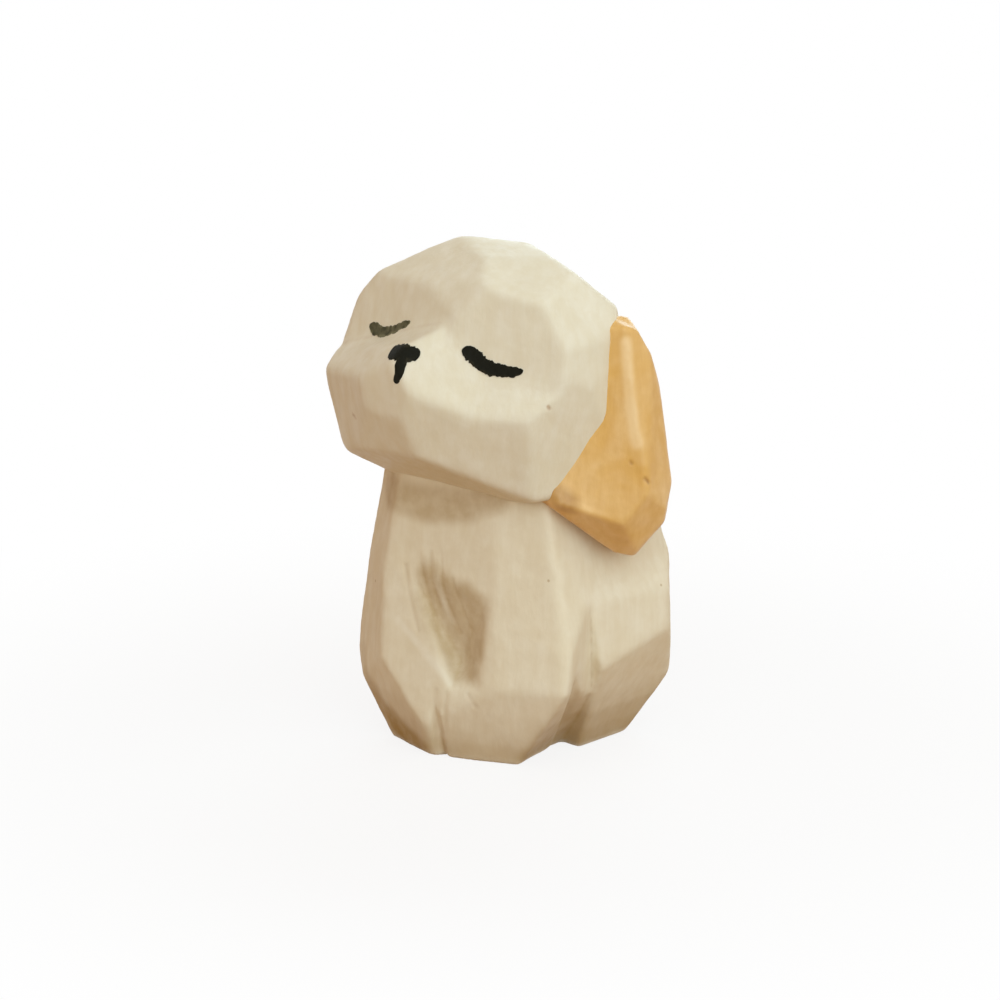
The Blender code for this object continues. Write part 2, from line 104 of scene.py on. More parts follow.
class Sheet:
    """A node tree with short ways to add nodes and link them. Values are numbers, vectors or sockets."""

    def __init__(self, tree: bpy.types.NodeTree) -> None:
        """Work on a node tree."""
        self.tree = tree

    def put(self, kind: str, feeds: Mapping[Any, Any] | None = None, **settings: Any) -> bpy.types.Node:
        """Add a node.

        Args:
            kind: The node's type name.
            feeds: For each input, by name or number, a value or the socket that drives it.
            settings: Properties of the node itself.

        Returns:
            The new node.
        """
        node = self.tree.nodes.new(kind)
        for key, value in settings.items():
            setattr(node, key, value)
        for key, value in (feeds or {}).items():
            if isinstance(value, Socket):
                self.tree.links.new(value, node.inputs[key])
            else:
                node.inputs[key].default_value = value
        row, column = divmod(len(self.tree.nodes), NODE_COLUMNS)
        node.location = (NODE_WIDTH * column, -NODE_HEIGHT * row)
        return node

    def maths(self, operation: str, *values: Any, clamp: bool = False) -> Socket:
        """Give the result of a Math node, held between 0 and 1 if it is clamped."""
        feeds = dict(enumerate(values))
        return self.put("ShaderNodeMath", feeds, operation=operation, use_clamp=clamp).outputs[0]

    def add(self, first: Any, second: Any, clamp: bool = False) -> Socket:
        """Give the sum of two numbers, held between 0 and 1 if it is clamped."""
        return self.maths("ADD", first, second, clamp=clamp)

    def minus(self, first: Any, second: Any) -> Socket:
        """Give the first number less the second."""
        return self.maths("SUBTRACT", first, second)

    def times(self, first: Any, second: Any) -> Socket:
        """Give the product of two numbers."""
        return self.maths("MULTIPLY", first, second)

    def vector(self, operation: str, *values: Any) -> Socket:
        """Give the result of a Vector Math node, a number for a dot product or a length."""
        node = self.put("ShaderNodeVectorMath", dict(enumerate(values)), operation=operation)
        return node.outputs["Value" if operation in ("DOT_PRODUCT", "LENGTH") else "Vector"]

    def scale(self, vector: Any, factor: Any) -> Socket:
        """Give a vector times a number."""
        return self.put("ShaderNodeVectorMath", {0: vector, "Scale": factor}, operation="SCALE").outputs[0]

    def ramp(self, value: Any, low: float, high: float, start: float = 0.0, end: float = 1.0) -> Socket:
        """Fade smoothly from start to end as a value goes from low to high."""
        feeds = {"Value": value, 1: low, 2: high, 3: start, 4: end}
        return self.put("ShaderNodeMapRange", feeds, interpolation_type="SMOOTHSTEP").outputs["Result"]

    def noise(self, place: Any, size: Any, detail: float = 3.0, rough: float = 0.5,
              swirl: float = 0.0) -> bpy.types.NodeOutputs:
        """Add a noise.

        Args:
            place: The socket of coordinates in metres.
            size: The size of a lump in metres.
            detail: Octaves of finer noise.
            rough: How strong the finer octaves are.
            swirl: How far the lumps are distorted.

        Returns:
            Its outputs: a number, about 0.5 on average, and a colour.
        """
        feeds = {"Vector": place, "Scale": self.maths("DIVIDE", 1.0, size), "Detail": detail,
                 "Roughness": rough, "Distortion": swirl}
        return self.put("ShaderNodeTexNoise", feeds).outputs

    def blend(self, share: Any, first: Any, second: Any) -> Socket:
        """Mix two linear colours, with a share of the second."""
        feeds = {"Factor": share, MIX_FIRST: first, MIX_SECOND: second}
        return self.put("ShaderNodeMix", feeds, data_type="RGBA").outputs[MIX_RESULT]

    def group(self, tree: bpy.types.NodeTree, feeds: Mapping[str, Any]) -> bpy.types.NodeOutputs:
        """Add a shader group and give its outputs."""
        return self.put("ShaderNodeGroup", feeds, node_tree=tree).outputs

    def stored(self, name: str) -> Socket:
        """Read a number that is stored at every point, in a material."""
        node = self.put("ShaderNodeAttribute", attribute_name=name, attribute_type="GEOMETRY")
        return node.outputs["Fac"]

    def surface(self, colour: Any, rough: Any, relief: tuple[Any, float, float],
                plain: Mapping[str, float]) -> None:
        """End a material with its shader.

        Args:
            colour: The socket of its colour.
            rough: The socket of its roughness.
            relief: The socket of its fine height, how strongly that shows and how deep it is.
            plain: The shader's plain numbers, by the name of the socket.
        """
        height, strength, depth = relief
        bump = self.put("ShaderNodeBump", {"Height": height, "Strength": strength, "Distance": depth * MM})
        shader = self.put("ShaderNodeBsdfPrincipled", {
            "Base Color": colour, "Roughness": rough, "Normal": bump.outputs[0], **plain})
        self.put("ShaderNodeOutputMaterial", {"Surface": shader.outputs[0]})

    def place(self) -> Socket:
        """Read where every point lies, in a geometry tree."""
        return self.put("GeometryNodeInputPosition").outputs[0]

    def normal(self) -> Socket:
        """Read which way the surface faces at every point, in a geometry tree."""
        return self.put("GeometryNodeInputNormal").outputs[0]

    def shape(self, thing: Any) -> Socket:
        """Read the geometry of the object that a socket names."""
        return self.put("GeometryNodeObjectInfo", {"Object": thing}).outputs["Geometry"]

    def blurred(self, value: Any, steps: Any, kind: str = "FLOAT_VECTOR") -> Socket:
        """Average a value with its neighbours' values, as many times as there are steps."""
        feeds = {"Value": value, "Iterations": steps}
        return self.put("GeometryNodeBlurAttribute", feeds, data_type=kind).outputs[0]

    def move(self, geometry: Any, **where: Any) -> Socket:
        """Move every point to a Position or by an Offset."""
        return self.put("GeometryNodeSetPosition", {"Geometry": geometry, **where}).outputs[0]

    def keep(self, geometry: Any, name: str, value: Any) -> Socket:
        """Store a number at every point under a name."""
        feeds = {"Geometry": geometry, "Name": name, "Value": value}
        stored = self.put("GeometryNodeStoreNamedAttribute", feeds, data_type="FLOAT", domain="POINT")
        return stored.outputs[0]

    def dress(self, geometry: Any, finish: Any) -> None:
        """End a geometry tree with smooth, real geometry in its material.

        Args:
            geometry: The geometry socket.
            finish: The socket of the material.
        """
        smooth = self.put("GeometryNodeSetShadeSmooth", {"Geometry": geometry}).outputs[0]
        whole = self.put("GeometryNodeRealizeInstances", {"Geometry": smooth}).outputs[0]
        dressed = self.put("GeometryNodeSetMaterial", {"Geometry": whole, "Material": finish}).outputs[0]
        self.put("NodeGroupOutput", {"Geometry": dressed})


def clean_sheet(owner: bpy.types.Material | bpy.types.World) -> Sheet:
    """Give a material or world an empty node tree.

    Args:
        owner: The material or world.

    Returns:
        The sheet to draw its nodes on.
    """
    owner.use_nodes = True
    owner.node_tree.nodes.clear()
    return Sheet(owner.node_tree)


def new_group(name: str, kind: str, inputs: Mapping[str, Sequence[str]],
              outputs: Mapping[str, Sequence[str]]) -> tuple[Sheet, bpy.types.NodeOutputs]:
    """Make a node group with named sockets.

    Args:
        name: The group's name.
        kind: The tree's type name.
        inputs: The inputs' names by their type.
        outputs: The outputs' names by their type.

    Returns:
        The sheet to draw the group on and the sockets of its inputs.
    """
    tree = bpy.data.node_groups.new(name, kind)
    for way, sockets in (("INPUT", inputs), ("OUTPUT", outputs)):
        for form, labels in sockets.items():
            for label in labels:
                tree.interface.new_socket(label, in_out=way, socket_type=f"NodeSocket{form}")
    sheet = Sheet(tree)
    return sheet, sheet.put("NodeGroupInput").outputs


def run_tree(obj: bpy.types.Object, sheet: Sheet, inputs: Mapping[str, Any]) -> None:
    """Put a geometry tree on an object as a modifier and set its named inputs.

    Args:
        obj: The object that the tree works on.
        sheet: The geometry tree's sheet.
        inputs: A value for each input, by the socket's name.
    """
    modifier = obj.modifiers.new(sheet.tree.name, "NODES")
    modifier.node_group = sheet.tree
    sockets = sheet.tree.interface.items_tree
    names = {item.name: item.identifier for item in sockets if item.in_out == "INPUT"}
    for name, value in inputs.items():
        modifier[names[name]] = value


def settle(obj: bpy.types.Object, name: str) -> bpy.types.Object:
    """Turn an object and its live modifiers into a plain mesh object.

    Args:
        obj: The object, which is removed.
        name: The new object's name.

    Returns:
        The plain mesh object.
    """
    bpy.context.view_layer.update()
    graph = bpy.context.evaluated_depsgraph_get()
    mesh = bpy.data.meshes.new_from_object(obj.evaluated_get(graph))
    bpy.data.objects.remove(obj, do_unlink=True)
    mesh.name = name
    return add_object(name, mesh)


class ShaderKit:
    """The shader groups that more than one finish uses, each built once.

    Attributes:
        seed_step: How far a seed of 1 shifts the brush's pattern, in metres.
        line_drift: How far the brush's lines wander, in metres.
        line_stretch: How the lines' pattern is squeezed along each axis, which draws them out upright.
        wear_and_painted_light_lumps: Size of the places where the wear, the painted highlight and the painted
            shade come and go.
        shade_line_lumps: Size of the patches in which the painted shade along lines comes and goes.
    """

    seed_step = 0.1
    line_drift = 0.0012
    line_stretch = (1.0, 1.0, 0.16)
    wear_and_painted_light_lumps = 3.0
    shade_line_lumps = 1.6

    def __init__(self) -> None:
        """Build the groups."""
        self.brushed = self.make_brushed()
        self.specks = self.make_specks()
        self.light_and_wear = self.make_light_and_wear()

    def make_brushed(self) -> bpy.types.NodeTree:
        """Build the uneven coat that a small brush leaves.

        Returns:
            The group: patches and brush lines as masks, and the paint's height.
        """
        sheet, start = new_group(
            "brushed_coat", "ShaderNodeTree",
            {"Vector": ("Place",), "Float": ("Patch Size", "Line Size", "Seed")},
            {"Float": ("Patches", "Lines", "Height")})
        shift = sheet.put("ShaderNodeCombineXYZ", {0: start["Seed"]}).outputs[0]
        place = sheet.vector("ADD", start["Place"], sheet.scale(shift, self.seed_step))
        patches = sheet.noise(place, start["Patch Size"], rough=0.55, swirl=0.4)[0]
        drift = sheet.scale(sheet.noise(place, start["Patch Size"], 1.0)[1], self.line_drift)
        upright = sheet.put("ShaderNodeMapping", {"Vector": place, "Scale": self.line_stretch}).outputs[0]
        lines = sheet.noise(sheet.vector("ADD", upright, drift), start["Line Size"], rough=0.6)[0]
        height = sheet.add(sheet.times(patches, 0.6), sheet.times(lines, 0.4))
        sheet.put("NodeGroupOutput", {
            "Patches": sheet.ramp(patches, 0.32, 0.68), "Lines": sheet.ramp(lines, 0.3, 0.7),
            "Height": height})
        return sheet.tree

    @staticmethod
    def make_specks() -> bpy.types.NodeTree:
        """Build sparse small specks, such as pores that the paint didn't fill.

        Returns:
            The group: one mask, 1 inside a speck.
        """
        sheet, start = new_group(
            "pores", "ShaderNodeTree", {"Vector": ("Place",), "Float": ("Spacing", "Radius", "Share")},
            {"Float": ("Mask",)})
        cells = sheet.put("ShaderNodeTexVoronoi", {
            "Vector": start["Place"], "Scale": sheet.maths("DIVIDE", 1.0, start["Spacing"])}).outputs
        reach = sheet.maths("DIVIDE", sheet.times(cells["Distance"], start["Spacing"]), start["Radius"])
        lot = sheet.put("ShaderNodeSeparateColor", {0: cells["Color"]}).outputs[0]
        chosen = sheet.maths("LESS_THAN", lot, start["Share"])
        inside = sheet.maths("SUBTRACT", 1.0, reach, clamp=True)
        sheet.put("NodeGroupOutput", {"Mask": sheet.ramp(sheet.times(inside, chosen), 0.0, 0.6)})
        return sheet.tree

    def make_light_and_wear(self) -> bpy.types.NodeTree:
        """Build the masks of raised edges, painted paler as a painted highlight as well as by wear, of painted
        shade in inner corners, sheltered places and along lines, and of painted highlight streaks.

        Returns:
            The group: masks of raised edges, of painted shade in inner corners, of painted shade together with
                the nicks, and of painted highlight streaks.
        """
        sheet, start = new_group(
            "handled_edges", "ShaderNodeTree",
            {"Vector": ("Place",), "Float": ("Reach", "Breakup", "Shelter", "Soil", "Nicks")},
            {"Float": ("Raised", "Inner", "Grime", "Rubbed")})
        level = sheet.maths("DIVIDE", sheet.stored("edge"), start["Reach"])
        uneven = sheet.noise(start["Place"], self.wear_and_painted_light_lumps * MM)[0]
        gap = sheet.times(sheet.minus(uneven, 0.5), start["Breakup"])
        # Raised edges are painted paler: a painted highlight as well as wear.
        raised = sheet.ramp(sheet.add(level, gap), 0.1, 1.0)
        # Painted shade in inner corners, where the rounding pushed the surface outwards.
        inner = sheet.ramp(sheet.minus(gap, level), 0.1, 1.0)
        # Painted shade: the more of a point's outlook is shut off, the darker it is painted, as shade falls in
        # hollows, creases and near the table.
        occlusion_shade = sheet.ramp(sheet.add(sheet.stored("shelter"), sheet.times(gap, 0.3)), 0.25, 0.85)
        # Painted shade along the drawn shade lines, broken up into lumps.
        lumps = sheet.ramp(sheet.noise(start["Place"], self.shade_line_lumps * MM)[0], 0.3, 0.65, 0.7, 1.0)
        line_shade = sheet.times(sheet.stored("soiled"), lumps)
        shade_and_nicks = sheet.add(sheet.times(occlusion_shade, start["Shelter"]), sheet.times(line_shade, start["Soil"]))
        # The gouge marks and nicks are darkened too; these are real marks in the paint.
        shade_and_nicks = sheet.add(shade_and_nicks, sheet.times(sheet.stored("scored"), start["Nicks"]), clamp=True)
        # Painted highlight: pale streaks along the drawn highlight lines, broken up by the noise.
        highlight_streaks = sheet.times(sheet.stored("rubbed"), sheet.ramp(uneven, 0.3, 0.6, 0.6, 1.0))
        sheet.put("NodeGroupOutput", {"Raised": raised, "Inner": inner, "Grime": shade_and_nicks, "Rubbed": highlight_streaks})
        return sheet.tree


@dataclass(frozen=True)
class PaintedWood:
    """Carved wood under one coat of paint.

    Attributes:
        name: The finish's name.
        slot: Name of a material slot; not used.
        coat: The paint's main colour.
        thick_and_highlight: Its colour where it lies thick, also used for painted highlights.
        thin: Its colour where the wood shows through.
        soil: The colour of the painted shade in hollows, inner corners, under the jaw and at the foot; the
            real pores and nicks take it too.
        sheltered: How far painted shade takes it towards the painted shade colour where it is fully sheltered.
        raised: How far raised edges go towards the pale, thick colour, a painted highlight as well as wear.
        nicks: How far gouge marks and nicks go towards the painted shade colour.
        line_shade: How far the places along the shade lines go towards the painted shade colour.
        gloss: Roughness of the coat.
        shine: How strongly it mirrors.
        varnish: Weight of a clear coat over it.
        varnish_gloss: Roughness of the clear coat.
        seed: Shifts the pattern from piece to piece.
        brushed: Size of the coat's patches and width of the brush's lines.
        fine: The same for the finer texture in it.
        edge_reach: How much an edge is rounded where the pale colour of a raised edge and the painted shade of
            an inner corner are full.
        breakup: How uneven the pale raised edges and the painted shade in corners and sheltered places are.
        pores: Spacing and radius of the pores and the share of places that have one.
        relief: How strongly the coat's height shows and how deep it is.
    """

    name: str
    slot: str
    coat: Colour
    thick_and_highlight: Colour
    thin: Colour
    soil: Colour
    sheltered: float = 0.5
    raised: float = 0.2
    nicks: float = 0.12
    line_shade: float = 0.5
    gloss: float = 0.5
    shine: float = 0.3
    varnish: float = 0.0
    varnish_gloss: float = 0.32
    seed: float = 0.0
    brushed: tuple[float, float] = (7.0, 1.1)
    fine: tuple[float, float] = (1.6, 0.35)
    edge_reach: float = 0.25
    breakup: float = 0.5
    pores: tuple[float, float, float] = (4.0, 0.22, 0.1)
    relief: tuple[float, float] = (0.35, 0.35)

    def material(self, kit: ShaderKit) -> bpy.types.Material:
        """Build the material.

        Args:
            kit: The shared shader groups.

        Returns:
            The material.
        """
        made = bpy.data.materials.new(self.name)
        sheet = clean_sheet(made)
        place = sheet.put("ShaderNodeTexCoord").outputs["Object"]
        broad, fine = (
            sheet.group(kit.brushed, {
                "Place": place, "Patch Size": patch * MM, "Line Size": line * MM, "Seed": seed})
            for (patch, line), seed in ((self.brushed, self.seed), (self.fine, self.seed + 0.3)))
        light_and_wear = sheet.group(kit.light_and_wear, {
            "Place": place, "Reach": self.edge_reach * MM, "Breakup": self.breakup, "Shelter": self.sheltered,
            "Soil": self.line_shade, "Nicks": self.nicks})
        spacing, radius, share = self.pores
        pores = sheet.group(kit.specks, {
            "Place": place, "Spacing": spacing * MM, "Radius": radius * MM, "Share": share})["Mask"]
        bare = sheet.minus(1.0, broad["Lines"])
        colour: Any = self.coat
        # The patches and brush lines are the paint's own unevenness and the pores are real; raised edges are
        # painted paler as highlight and wear, the streaks as painted highlight, and corners, sheltered places
        # and shade lines are darkened as painted shade.
        for mask, weight, tint in (
                (broad["Patches"], 0.55, self.thick_and_highlight), (bare, 0.3, self.thin),
                (fine["Patches"], 0.2, self.thin),
                (light_and_wear["Raised"], self.raised, self.thick_and_highlight), (light_and_wear["Rubbed"], 0.8, self.thick_and_highlight),
                (light_and_wear["Inner"], 0.3, self.soil), (light_and_wear["Grime"], 1.0, self.soil), (pores, 0.45, self.soil)):
            colour = sheet.blend(sheet.times(mask, weight), colour, tint)
        rough = sheet.ramp(broad["Lines"], 0.0, 1.0, self.gloss + 0.08, self.gloss - 0.06)
        height = sheet.add(sheet.times(broad["Height"], 0.7), sheet.times(fine["Height"], 0.3))
        height = sheet.minus(height, sheet.times(pores, 0.3))
        sheet.surface(colour, rough, (height, *self.relief), {
            "Specular IOR Level": self.shine, "Coat Weight": self.varnish,
            "Coat Roughness": self.varnish_gloss})
        return made


@dataclass(frozen=True)
class BrushPaint:
    """Dark paint laid on with the tip of a brush.

    Attributes:
        name: The finish's name.
        slot: Name of a material slot; not used.
        full: Its colour where it covers.
        dry: Its colour at the dry borders of the stroke.
        dryness: How much of the stroke is dry, from 0 to 1.
        gloss: Roughness of the paint.
        shine: How strongly it mirrors.
        brushed: Size of its patches and width of the brush's lines.
        border: Shares of the stroke's half width between which it turns dry.
        relief: How strongly its height shows and how deep it is.
    """

    name: str
    slot: str
    full: Colour
    dry: Colour
    dryness: float
    gloss: float = 0.6
    shine: float = 0.1
    brushed: tuple[float, float] = (1.0, 0.25)
    border: tuple[float, float] = (0.75, 1.15)
    relief: tuple[float, float] = (0.3, 0.08)

    def material(self, kit: ShaderKit) -> bpy.types.Material:
        """Build the material.

        Args:
            kit: The shared shader groups.

        Returns:
            The material.
        """
        made = bpy.data.materials.new(self.name)
        sheet = clean_sheet(made)
        patch, line = self.brushed
        brushed = sheet.group(kit.brushed, {
            "Place": sheet.put("ShaderNodeTexCoord").outputs["Object"], "Patch Size": patch * MM,
            "Line Size": line * MM})
        uneven = sheet.times(sheet.minus(brushed["Patches"], 0.5), 0.7)
        border = sheet.ramp(sheet.add(sheet.stored("across"), uneven), *self.border)
        dry = sheet.add(sheet.times(border, 0.5), sheet.times(brushed["Patches"], self.dryness), clamp=True)
        rough = sheet.ramp(brushed["Lines"], 0.0, 1.0, self.gloss, self.gloss + 0.15)
        sheet.surface(sheet.blend(dry, self.full, self.dry), rough, (brushed["Height"], *self.relief),
                      {"Specular IOR Level": self.shine})
        return made


# The fourth colour of each finish is its painted shade colour; the real pores and nicks take it too.
CREAM = PaintedWood(
    "cream_paint_on_wood", "cream_painted_wood", paint(234, 224, 199), paint(240, 233, 213),
    paint(221, 206, 174), paint(166, 130, 64), sheltered=0.7, gloss=0.55, shine=0.12)
CREAM_HEAD = PaintedWood(
    "cream_paint_on_head", "cream_painted_wood", paint(232, 225, 204), paint(239, 234, 216),
    paint(222, 210, 178), paint(170, 126, 72), sheltered=0.35, nicks=0.7, shine=0.2, seed=1.7)
OCHRE = PaintedWood(
    "ochre_paint_on_wood", "ochre_painted_wood", paint(224, 176, 92), paint(244, 212, 158),
    paint(208, 156, 74), paint(148, 94, 32), sheltered=0.8, nicks=0.7, gloss=0.36, varnish=0.3, seed=3.1)
BLACK = BrushPaint("black_brush_paint", "black_paint", paint(22, 21, 12), paint(50, 46, 32), 0.08)
OLIVE = BrushPaint("olive_brush_paint", "thin_olive_paint", paint(66, 64, 46), paint(120, 117, 90), 0.6)


class CarvingTree:
    """The rule that turns a cut block into hand-carved wood: soft edges, a hand's wobble, tool ripples.

    Attributes:
        soil_core: Share of a shade line's reach within which the painted shade is full.
        rubbed_core: The same for a painted highlight line.
        level: Value of the noise that leaves a point where it is.
        above_table: The lowest place that a point may have, in metres.
        table: Width of the table that shelters the foot.
        outlooks: How many directions a point looks out in.
        lift: How far from the surface it looks out.
        outlook_reach: How far it looks.
        outlook_blur: How often what it sees is averaged.
    """

    soil_core = 0.3
    rubbed_core = 0.2
    level = 0.55
    above_table = (-1.0, -1.0, 0.0)
    table = 300.0
    outlooks = 32
    lift = 0.6
    outlook_reach = 14.0
    outlook_blur = 10

    def __init__(self) -> None:
        """Build the geometry tree."""
        self.sheet, self.start = new_group("hand_carving", "GeometryNodeTree", {
            "Geometry": ("Geometry",), "Int": ("Edge Softness", "Crease Fill"),
            "Float": ("Coat", "Wobble Depth", "Wobble Size", "Ripple Depth", "Ripple Size", "Gouge Reach",
                      "Gouge Depth", "Soil Reach", "Rubbed Reach", "Seed"),
            "Object": ("Gouge Lines", "Soil Lines", "Rubbed Lines", "Body Solid", "Head Solid"),
            "Material": ("Finish",)}, {"Geometry": ("Geometry",)})
        sheet = self.sheet
        soft = sheet.blurred(sheet.place(), self.start["Edge Softness"])
        rounding = sheet.vector("DOT_PRODUCT", sheet.vector("SUBTRACT", sheet.place(), soft), sheet.normal())
        carved = sheet.move(sheet.keep(self.start["Geometry"], "edge", rounding), Position=soft)
        carved = self.paint_over(carved)
        # The shelter share and the lines below are kept so that shade and highlights can be painted into the
        # colour.
        carved = sheet.keep(carved, "shelter", self.shelter())
        carved = sheet.keep(carved, "soiled", self.nearness("Soil", self.soil_core))
        carved = sheet.keep(carved, "rubbed", self.nearness("Rubbed", self.rubbed_core))
        carved = self.push(carved, "Wobble", 0.0, 1.0)
        carved = self.push(carved, "Ripple", 5.0, 3.0)
        carved = self.gouge(carved)
        stood = sheet.move(carved, Position=sheet.vector("MAXIMUM", sheet.place(), self.above_table))
        sheet.dress(stood, self.start["Finish"])

    def paint_over(self, geometry: Any) -> Socket:
        """Lay an even coat of paint that also pools in the inner corners.

        Args:
            geometry: The geometry socket.

        Returns:
            The geometry socket.
        """
        sheet = self.sheet
        filled = sheet.blurred(sheet.place(), self.start["Crease Fill"])
        level = sheet.vector("SUBTRACT", filled, sheet.place())
        pool = sheet.maths("MAXIMUM", sheet.vector("DOT_PRODUCT", level, sheet.normal()), 0.0)
        return sheet.move(geometry, Offset=sheet.scale(sheet.normal(), sheet.add(pool, self.start["Coat"])))

    def push(self, geometry: Any, kind: str, shift: float, detail: float) -> Socket:
        """Move points in and out by a noise.

        Args:
            geometry: The geometry socket.
            kind: Wobble or Ripple, whose inputs give the depth and the size of the lumps.
            shift: Keeps one use of the pattern apart from another.
            detail: Octaves of finer noise.

        Returns:
            The geometry socket.
        """
        sheet, start = self.sheet, self.start
        noise = sheet.put("ShaderNodeTexNoise", {
            "Vector": sheet.place(), "W": sheet.add(start["Seed"], shift), "Detail": detail,
            "Scale": sheet.maths("DIVIDE", 1.0, start[f"{kind} Size"])}, noise_dimensions="4D").outputs[0]
        amount = sheet.times(sheet.minus(noise, self.level), sheet.times(start[f"{kind} Depth"], 2.0))
        return sheet.move(geometry, Offset=sheet.scale(sheet.normal(), amount))

    def gouge(self, geometry: Any) -> Socket:
        """Press a shallow furrow along every gouge line that comes near the surface.

        Args:
            geometry: The geometry socket.

        Returns:
            The geometry socket.
        """
        sheet = self.sheet
        share = self.nearness("Gouge", 0.0)
        inward = sheet.scale(sheet.normal(), sheet.times(share, sheet.times(self.start["Gouge Depth"], -1.0)))
        return sheet.move(sheet.keep(geometry, "scored", share), Offset=inward)

    def nearness(self, kind: str, core: float) -> Socket:
        """Find how near every point lies to drawn lines.

        Args:
            kind: Gouge, Painted Shade or Painted Highlight, whose inputs give the lines and their reach.
            core: The share of the reach within which a point counts as on a line.

        Returns:
            The socket, 1 on a line and 0 past its reach or where there are no lines.
        """
        sheet, start = self.sheet, self.start
        lines = sheet.shape(start[f"{kind} Lines"])
        near = sheet.put("GeometryNodeProximity", {0: lines}, target_element="EDGES")
        share = sheet.maths("DIVIDE", near.outputs["Distance"], start[f"{kind} Reach"])
        return sheet.ramp(sheet.add(share, sheet.minus(1.0, near.outputs["Is Valid"])), 1.0, core)

    def shelter(self) -> Socket:
        """Find how sheltered every point is: what share of its outlook is shut off by the dog or the table.

        Returns:
            The socket of the share, from 0 to 1.
        """
        sheet = self.sheet
        width = self.table * MM
        square = {0: width, 1: width, "Vertices X": 2, "Vertices Y": 2}
        table = sheet.put("GeometryNodeMeshGrid", square).outputs[0]
        around = sheet.put("GeometryNodeJoinGeometry")
        for part in (table, *(sheet.shape(self.start[name]) for name in ("Body Solid", "Head Solid"))):
            sheet.tree.links.new(part, around.inputs[0])
        normal = sheet.normal()
        origin = sheet.vector("ADD", sheet.place(), sheet.scale(normal, self.lift * MM))
        golden_turn = math.pi * (3.0 - math.sqrt(5.0))
        blocked: Any = 0.0
        total: Any = 0.001
        for spot in range(self.outlooks):
            height = 1.0 - (2.0 * spot + 1.0) / self.outlooks
            ring, turn = math.sqrt(1.0 - height * height), spot * golden_turn
            ray = (ring * math.cos(turn), ring * math.sin(turn), height)
            facing = sheet.maths("MAXIMUM", sheet.vector("DOT_PRODUCT", normal, ray), 0.0)
            hit = sheet.put("GeometryNodeRaycast", {
                "Target Geometry": around.outputs[0], "Source Position": origin, "Ray Direction": ray,
                "Ray Length": self.outlook_reach * MM}).outputs["Is Hit"]
            blocked = sheet.add(blocked, sheet.times(facing, hit))
            total = sheet.add(total, facing)
        return sheet.blurred(sheet.maths("DIVIDE", blocked, total), self.outlook_blur, "FLOAT")


class BrushTree:
    """The rule that bends a flat grid along a drawn line and drops it on the carved head as a stroke.

    Attributes:
        grid: Points along and across a stroke.
        bluntness: How late a stroke narrows to its ends.
        least_width: Share of its width that is left there.
        walk: How fast the pattern of its borders changes along it.
        rim_gap: How far apart the patterns of its two borders lie.
        drop: How far the grid can drop.
    """

    grid = (90, 21)
    bluntness = 9.0
    least_width = 0.1
    walk = 6.0
    rim_gap = 3.3
    drop = 100.0

    def __init__(self) -> None:
        """Build the geometry tree."""
        self.sheet, self.start = new_group("brush_stroke", "GeometryNodeTree", {
            "Geometry": ("Geometry",), "Object": ("Surface",), "Vector": ("Axis",),
            "Float": ("Sink", "Ragged", "Ragged Size", "Seed"), "Material": ("Finish",)},
            {"Geometry": ("Geometry",)})
        sheet, start = self.sheet, self.start
        columns, rows = self.grid
        flat = sheet.put("GeometryNodeMeshGrid", {0: 1.0, 1: 1.0, "Vertices X": columns, "Vertices Y": rows})
        spot = sheet.put("ShaderNodeSeparateXYZ", {0: sheet.place()}).outputs
        along = sheet.add(spot[0], 0.5, clamp=True)
        across = sheet.times(spot[1], 2.0)
        film = sheet.keep(flat.outputs[0], "across", sheet.maths("ABSOLUTE", across))
        line = sheet.put("GeometryNodeSampleCurve", {
            "Curves": start["Geometry"], "Value": sheet.put("GeometryNodeInputRadius").outputs[0],
            "Factor": along}, mode="FACTOR", use_all_curves=True).outputs
        side = sheet.vector("NORMALIZE", sheet.vector("CROSS_PRODUCT", start["Axis"], line["Tangent"]))
        reach = sheet.times(sheet.times(across, line["Value"]), self.painted_share(along, across))
        film = sheet.move(film, Position=sheet.vector("ADD", line["Position"], sheet.scale(side, reach)))
        inward = sheet.scale(start["Axis"], -1.0)
        hit = sheet.put("GeometryNodeRaycast", {
            "Target Geometry": sheet.shape(start["Surface"]), "Source Position": sheet.place(),
            "Ray Direction": inward, "Ray Length": self.drop * MM}).outputs
        landed = sheet.vector("ADD", hit["Hit Position"], sheet.scale(inward, start["Sink"]))
        film = sheet.put("GeometryNodeMergeByDistance", {
            "Geometry": sheet.move(film, Position=landed), "Distance": WELD * MM}).outputs[0]
        sheet.dress(film, start["Finish"])

    def painted_share(self, along: Any, across: Any) -> Socket:
        """Find what share of the stroke's width is painted: less at its ends, and uneven at its borders.

        Args:
            along: The socket of the way along the stroke, from 0 to 1.
            across: The socket of the way across it, from -1 to 1.

        Returns:
            The socket of the share.
        """
        sheet, start = self.sheet, self.start
        from_middle = sheet.maths("ABSOLUTE", sheet.minus(sheet.times(along, 2.0), 1.0))
        tip = sheet.maths("POWER", sheet.minus(1.0, sheet.maths("POWER", from_middle, self.bluntness)), 0.5)
        rim = sheet.times(sheet.maths("SIGN", across), self.rim_gap)
        spot = sheet.put("ShaderNodeCombineXYZ", {0: sheet.times(along, self.walk), 1: rim, 2: start["Seed"]})
        wave = sheet.put("ShaderNodeTexNoise", {
            "Vector": spot.outputs[0], "Scale": start["Ragged Size"], "Detail": 3.0}).outputs[0]
        rag = sheet.add(1.0, sheet.times(sheet.minus(wave, 0.5), start["Ragged"]))
        return sheet.times(sheet.maths("MAXIMUM", tip, self.least_width), rag)


